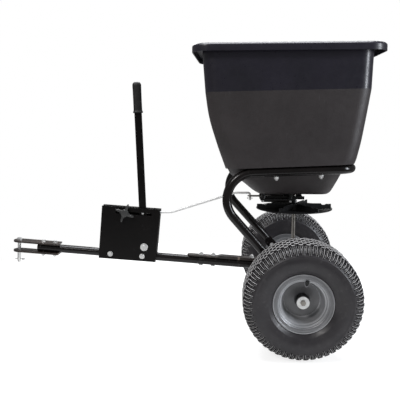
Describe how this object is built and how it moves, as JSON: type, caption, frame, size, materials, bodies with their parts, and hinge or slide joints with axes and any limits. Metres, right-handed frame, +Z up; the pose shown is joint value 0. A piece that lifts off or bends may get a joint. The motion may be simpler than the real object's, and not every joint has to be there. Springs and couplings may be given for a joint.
{
  "type": "tow behind spreader",
  "caption": "Tow-behind broadcast spreader: deep hopper on a bent tube frame, pneumatic wheels, axle-driven spinner, lever-worked gate and pin hitch.",
  "frame": {"origin": "on the ground, in the middle of the machine's length and width", "axes": "+X rearwards, away from the hitch; +Y to the right of travel; +Z up"},
  "size_m": [1.2961, 0.7546, 0.9699],
  "materials": {
    "hopper_plastic": "textured moulded polyethylene",
    "black_steel": "semi-gloss black powder coat",
    "zinc_bolts": "bright zinc plate",
    "zinc_rod": "bright zinc plate",
    "nylon": "natural nylon",
    "gearbox_alloy": "cast, dark grey",
    "bare_steel": "drawn bar",
    "gear_steel": "sintered, greased",
    "black_plastic": "moulded, fine texture",
    "spinner_plastic": "moulded, satin",
    "rim_paint": "silver paint",
    "tyre_rubber": "worn dark grey rubber",
    "valve_rubber": "matte"
  },
  "bodies": {
    "frame": {"hopper": "hopper_plastic", "hopper_frame": "black_steel", "hopper_bolts": "zinc_bolts", "bearing_plate_left": "black_steel", "bearing_plate_right": "black_steel", "bearing_plate_bolts": "zinc_bolts", "axle_tube_left": "black_steel", "axle_tube_right": "black_steel", "axle_bushings": "nylon", "gearbox_half_left": "gearbox_alloy", "gearbox_half_right": "gearbox_alloy", "gearbox_bolts": "zinc_bolts", "tongue_tube": "black_steel", "tongue_strut": "black_steel", "strut_bolts": "zinc_bolts", "hitch_plate_upper": "black_steel", "hitch_plate_lower": "black_steel", "hitch_bolts": "zinc_bolts", "control_plate_left": "black_steel", "control_plate_right": "black_steel", "control_bolts": "zinc_bolts", "lever_pivot_bolt": "zinc_bolts", "pivot_spacers": "zinc_bolts", "gate_guide": "black_steel", "drop_chute": "black_steel", "gate_bolts": "zinc_bolts", "shaft_bushing_lower": "nylon", "shaft_bushing_upper": "nylon"},
    "drive_axle": {"axle_shaft": "bare_steel", "ring_gear": "gear_steel", "ring_gear_pin": "zinc_bolts", "axle_spacers": "bare_steel", "drive_pin": "zinc_bolts", "rim_left": "rim_paint", "tyre_left": "tyre_rubber", "valve_left": "valve_rubber", "hub_bushings_left": "nylon", "axle_end_washers": "zinc_bolts", "axle_end_bolts": "zinc_bolts"},
    "free_wheel": {"rim_right": "rim_paint", "tyre_right": "tyre_rubber", "valve_right": "valve_rubber", "hub_bushings_right": "nylon"},
    "spinner_set": {"spinner_shaft": "bare_steel", "pinion": "gear_steel", "spinner": "spinner_plastic", "agitator": "bare_steel", "shaft_pins": "zinc_bolts"},
    "lever": {"lever": "black_steel", "lever_grip": "black_plastic"},
    "stop": {"stop_bolt": "zinc_bolts"},
    "knob": {"star_knob": "black_plastic"},
    "gate": {"gate_slide": "bare_steel"},
    "rod": {"control_rod": "zinc_rod", "rod_cotter": "zinc_bolts"},
    "hitch_pin": {"hitch_pin": "zinc_bolts"},
    "hitch_clip": {"hitch_clip": "zinc_bolts"}
  },
  "joints": [
    {"name": "axle_spin", "type": "hinge", "parent": "frame", "child": "drive_axle", "pos_m": [0.38807, 0, 0.184], "axis": [0, 1, 0], "continuous": true},
    {"name": "free_wheel_spin", "type": "hinge", "parent": "drive_axle", "child": "free_wheel", "pos_m": [0.38807, 0.3, 0.184], "axis": [0, 1, 0], "continuous": true},
    {"name": "spinner_spin", "type": "hinge", "parent": "frame", "child": "spinner_set", "pos_m": [0.38807, 0, 0.421], "axis": [0, 0, 1], "continuous": true},
    {"name": "lever_swing", "type": "hinge", "parent": "frame", "child": "lever", "pos_m": [-0.15245, 0, 0.27275], "axis": [0, -1, 0], "range_deg": [0, 16.9]},
    {"name": "gate_travel", "type": "slide", "parent": "frame", "child": "gate", "axis": [-1, 0, 0], "range_m": [0, 0.0375]},
    {"name": "rod_tilt", "type": "hinge", "parent": "gate", "child": "rod", "pos_m": [0.23107, 0, 0.4635], "axis": [0, -1, 0], "range_deg": [0, 0.9]},
    {"name": "stop_travel", "type": "slide", "parent": "frame", "child": "stop", "axis": [-0.9978, 0, 0.0659], "range_m": [0, 0.03]},
    {"name": "knob_turn", "type": "hinge", "parent": "stop", "child": "knob", "pos_m": [-0.22028, -0.027, 0.39899], "axis": [0, -1, 0], "range_deg": [0, 180]},
    {"name": "hitch_pin_lift", "type": "slide", "parent": "frame", "child": "hitch_pin", "axis": [0.0659, 0, 0.9978], "range_m": [0, 0.03]},
    {"name": "hitch_clip_pull", "type": "slide", "parent": "hitch_pin", "child": "hitch_clip", "axis": [0.9978, 0, -0.0659], "range_m": [0, 0.024]}
  ],
  "couplings": [
    {"joint": "spinner_spin", "follows": "axle_spin", "ratio": -4},
    {"joint": "gate_travel", "follows": "lever_swing", "m_per_rad": 0.1255},
    {"joint": "rod_tilt", "follows": "lever_swing", "ratio": 0.051}
  ]
}
